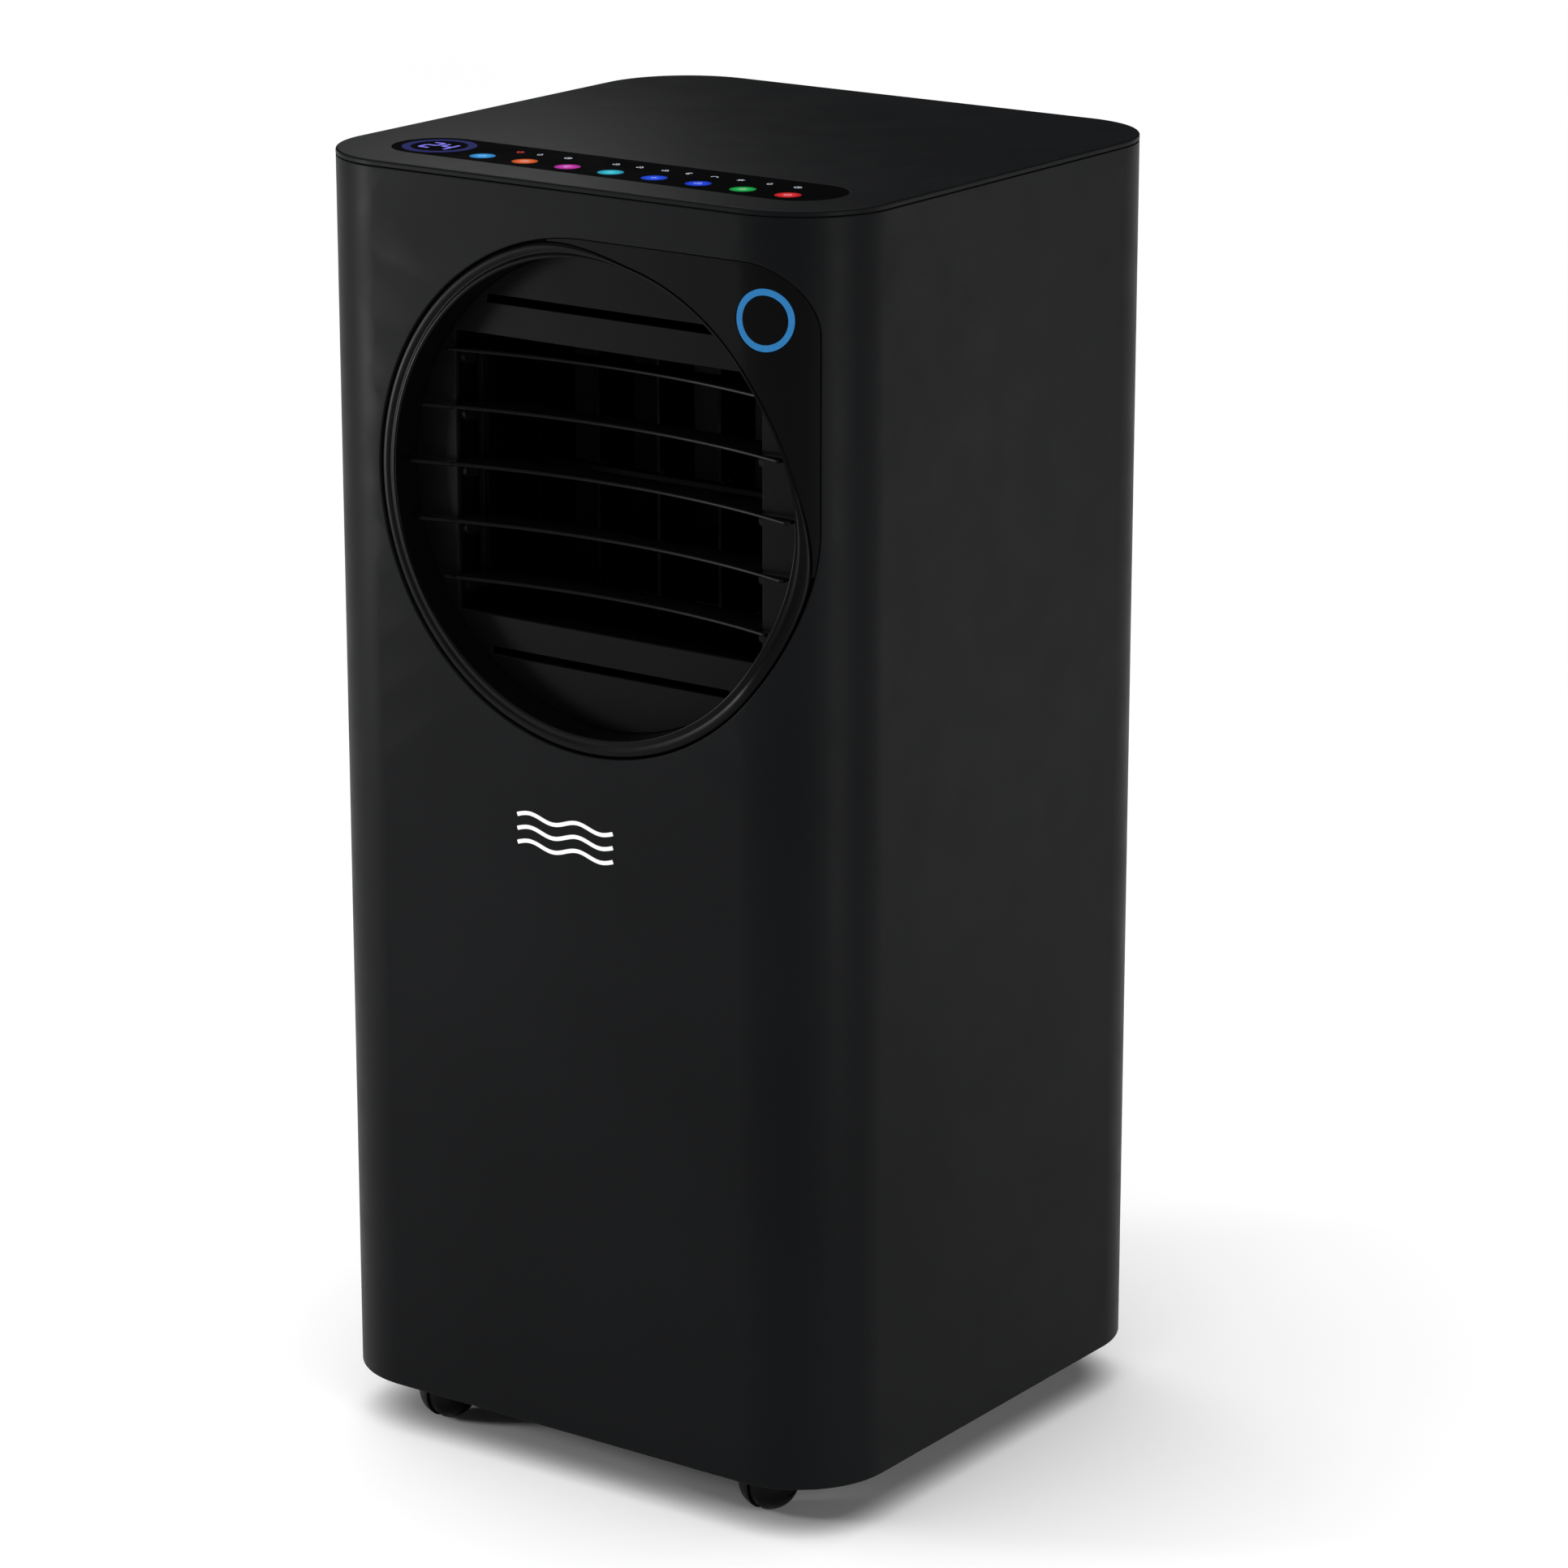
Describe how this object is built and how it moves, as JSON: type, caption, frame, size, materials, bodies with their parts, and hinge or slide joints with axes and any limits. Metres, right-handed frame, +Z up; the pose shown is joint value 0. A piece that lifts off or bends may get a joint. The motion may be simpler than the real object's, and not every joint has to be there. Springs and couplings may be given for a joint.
{
  "type": "portable air conditioner",
  "caption": "Tower-shaped portable air conditioner with a round louvred air outlet, a flush touch panel on top, a rear filter, an exhaust collar and swivel casters.",
  "frame": {"origin": "centre of the footprint at floor level, under the caster wheels", "axes": "+Z up along the tall body; -Y out of the front face, which holds the air outlet; +X to the right for someone facing the front"},
  "size_m": [0.336, 0.322, 0.6998],
  "materials": {
    "charcoal_shell": "fine satin moulded plastic, charcoal black",
    "outlet_black": "satin black plastic",
    "outlet_ring": "semi-gloss black plastic",
    "panel_gloss": "polished black plastic",
    "lens": "dark receiver window",
    "light_ring": "lit blue light guide",
    "key_light": "lit touch keys, one colour each",
    "inner_black": "black plastic",
    "scroll_plastic": "natural grey plastic",
    "steel": "zinc-plated sheet steel",
    "coil": "aluminium fins with copper bends",
    "copper": "bare copper tube",
    "motor": "grey painted steel",
    "compressor_black": "black painted steel",
    "rubber": "black rubber",
    "caster_black": "black nylon",
    "board": "green circuit board",
    "box_white": "pale flame-retardant plastic",
    "capacitor_can": "plain can",
    "screw": "blackened steel"
  },
  "bodies": {
    "cabinet": {"front_cover": "charcoal_shell", "rear_cover": "charcoal_shell", "top_cover": "charcoal_shell", "base_pan": "inner_black", "side_frames": "steel", "divider_deck": "steel", "outlet_ring": "outlet_ring", "leaf_plate": "outlet_black", "light_ring": "light_ring", "receiver_lens": "lens", "outlet_floor": "outlet_black", "outlet_duct": "inner_black", "louver_motor": "steel", "touch_panel": "panel_gloss", "key_lenses": "key_light", "control_board": "board", "upper_scroll": "scroll_plastic", "upper_motor": "motor", "evaporator_coil": "coil", "drip_tray": "inner_black", "lower_scroll": "scroll_plastic", "lower_motor": "motor", "condenser_coil": "coil", "exhaust_collar": "inner_black", "compressor": "compressor_black", "compressor_grommets": "rubber", "refrigerant_pipes": "copper", "electrical_box": "box_white", "capacitor": "capacitor_can", "splash_motor": "motor", "cord_gland": "rubber", "cover_screws": "screw"},
    "blade_1": {"louver_blade_1": "outlet_black"},
    "blade_2": {"louver_blade_2": "outlet_black"},
    "blade_3": {"louver_blade_3": "outlet_black"},
    "blade_4": {"louver_blade_4": "outlet_black"},
    "blade_5": {"louver_blade_5": "outlet_black"},
    "blade_link": {"louver_link": "outlet_black"},
    "crank": {"louver_crank": "box_white"},
    "vane_1": {"vane_1": "inner_black"},
    "vane_2": {"vane_2": "inner_black"},
    "vane_3": {"vane_3": "inner_black"},
    "vane_4": {"vane_4": "inner_black"},
    "vane_5": {"vane_5": "inner_black"},
    "vane_link": {"vane_link": "inner_black"},
    "upper_blower": {"upper_wheel": "inner_black"},
    "lower_blower": {"lower_wheel": "inner_black"},
    "splasher": {"splash_wheel": "box_white"},
    "filter": {"intake_filter": "inner_black"},
    "upper_cap": {"upper_drain_cap": "rubber"},
    "lower_cap": {"lower_drain_cap": "rubber"},
    "fork_fl": {"caster_fork_fl": "caster_black"},
    "wheels_fl": {"caster_wheels_fl": "caster_black"},
    "fork_fr": {"caster_fork_fr": "caster_black"},
    "wheels_fr": {"caster_wheels_fr": "caster_black"},
    "fork_rl": {"caster_fork_rl": "caster_black"},
    "wheels_rl": {"caster_wheels_rl": "caster_black"},
    "fork_rr": {"caster_fork_rr": "caster_black"},
    "wheels_rr": {"caster_wheels_rr": "caster_black"}
  },
  "joints": [
    {"name": "tilt_1", "type": "hinge", "parent": "cabinet", "child": "blade_1", "pos_m": [0.0195, -0.137, 0.5989], "axis": [1, 0, 0], "range_deg": [-20, 22]},
    {"name": "tilt_2", "type": "hinge", "parent": "cabinet", "child": "blade_2", "pos_m": [0.0195, -0.137, 0.5687], "axis": [1, 0, 0], "range_deg": [-20, 22]},
    {"name": "tilt_3", "type": "hinge", "parent": "cabinet", "child": "blade_3", "pos_m": [0.0195, -0.137, 0.5385], "axis": [1, 0, 0], "range_deg": [-20, 22]},
    {"name": "tilt_4", "type": "hinge", "parent": "cabinet", "child": "blade_4", "pos_m": [0.0195, -0.137, 0.5083], "axis": [1, 0, 0], "range_deg": [-20, 22]},
    {"name": "tilt_5", "type": "hinge", "parent": "cabinet", "child": "blade_5", "pos_m": [0.0195, -0.137, 0.4781], "axis": [1, 0, 0], "range_deg": [-20, 22]},
    {"name": "link_turn", "type": "hinge", "parent": "blade_3", "child": "blade_link", "pos_m": [-0.0716, -0.128, 0.5385], "axis": [1, 0, 0], "range_deg": [-22, 20]},
    {"name": "crank_turn", "type": "hinge", "parent": "cabinet", "child": "crank", "pos_m": [-0.0753, -0.115, 0.5385], "axis": [1, 0, 0], "range_deg": [-20, 22]},
    {"name": "swing_1", "type": "hinge", "parent": "cabinet", "child": "vane_1", "pos_m": [-0.0581, -0.0825, 0.5395], "axis": [0, 0, 1], "range_deg": [-30, 30]},
    {"name": "swing_2", "type": "hinge", "parent": "cabinet", "child": "vane_2", "pos_m": [-0.0193, -0.0825, 0.5395], "axis": [0, 0, 1], "range_deg": [-30, 30]},
    {"name": "swing_3", "type": "hinge", "parent": "cabinet", "child": "vane_3", "pos_m": [0.0195, -0.0825, 0.5395], "axis": [0, 0, 1], "range_deg": [-30, 30]},
    {"name": "swing_4", "type": "hinge", "parent": "cabinet", "child": "vane_4", "pos_m": [0.0583, -0.0825, 0.5395], "axis": [0, 0, 1], "range_deg": [-30, 30]},
    {"name": "swing_5", "type": "hinge", "parent": "cabinet", "child": "vane_5", "pos_m": [0.0971, -0.0825, 0.5395], "axis": [0, 0, 1], "range_deg": [-30, 30]},
    {"name": "vane_link_turn", "type": "hinge", "parent": "vane_3", "child": "vane_link", "pos_m": [0.0195, -0.095, 0.5395], "axis": [0, 0, 1], "range_deg": [-30, 30]},
    {"name": "upper_blower_spin", "type": "hinge", "parent": "cabinet", "child": "upper_blower", "pos_m": [0.0195, 0, 0.425], "axis": [0, 1, 0], "continuous": true},
    {"name": "lower_blower_spin", "type": "hinge", "parent": "cabinet", "child": "lower_blower", "pos_m": [0.04, 0.0175, 0.128], "axis": [0, 1, 0], "continuous": true},
    {"name": "splash_spin", "type": "hinge", "parent": "cabinet", "child": "splasher", "pos_m": [-0.062, 0.038, 0.076], "axis": [1, 0, 0], "continuous": true},
    {"name": "filter_slide", "type": "slide", "parent": "cabinet", "child": "filter", "axis": [0, 1, 0], "range_m": [0, 0.06]},
    {"name": "upper_cap_pull", "type": "slide", "parent": "cabinet", "child": "upper_cap", "axis": [0, 1, 0], "range_m": [0, 0.025]},
    {"name": "lower_cap_pull", "type": "slide", "parent": "cabinet", "child": "lower_cap", "axis": [0, 1, 0], "range_m": [0, 0.025]},
    {"name": "swivel_fl", "type": "hinge", "parent": "cabinet", "child": "fork_fl", "pos_m": [-0.108, -0.119, 0.03], "axis": [0, 0, 1], "continuous": true},
    {"name": "roll_fl", "type": "hinge", "parent": "fork_fl", "child": "wheels_fl", "pos_m": [-0.108, -0.126, 0.0165], "axis": [1, 0, 0], "continuous": true},
    {"name": "swivel_fr", "type": "hinge", "parent": "cabinet", "child": "fork_fr", "pos_m": [0.108, -0.119, 0.03], "axis": [0, 0, 1], "continuous": true},
    {"name": "roll_fr", "type": "hinge", "parent": "fork_fr", "child": "wheels_fr", "pos_m": [0.108, -0.126, 0.0165], "axis": [1, 0, 0], "continuous": true},
    {"name": "swivel_rl", "type": "hinge", "parent": "cabinet", "child": "fork_rl", "pos_m": [-0.108, 0.119, 0.03], "axis": [0, 0, 1], "continuous": true},
    {"name": "roll_rl", "type": "hinge", "parent": "fork_rl", "child": "wheels_rl", "pos_m": [-0.108, 0.126, 0.0165], "axis": [1, 0, 0], "continuous": true},
    {"name": "swivel_rr", "type": "hinge", "parent": "cabinet", "child": "fork_rr", "pos_m": [0.108, 0.119, 0.03], "axis": [0, 0, 1], "continuous": true},
    {"name": "roll_rr", "type": "hinge", "parent": "fork_rr", "child": "wheels_rr", "pos_m": [0.108, 0.126, 0.0165], "axis": [1, 0, 0], "continuous": true}
  ],
  "couplings": [
    {"joint": "tilt_1", "follows": "tilt_3", "ratio": 1},
    {"joint": "tilt_2", "follows": "tilt_3", "ratio": 1},
    {"joint": "tilt_4", "follows": "tilt_3", "ratio": 1},
    {"joint": "tilt_5", "follows": "tilt_3", "ratio": 1},
    {"joint": "link_turn", "follows": "tilt_3", "ratio": -1},
    {"joint": "crank_turn", "follows": "tilt_3", "ratio": 1},
    {"joint": "swing_1", "follows": "swing_3", "ratio": 1},
    {"joint": "swing_2", "follows": "swing_3", "ratio": 1},
    {"joint": "swing_4", "follows": "swing_3", "ratio": 1},
    {"joint": "swing_5", "follows": "swing_3", "ratio": 1},
    {"joint": "vane_link_turn", "follows": "swing_3", "ratio": -1}
  ]
}
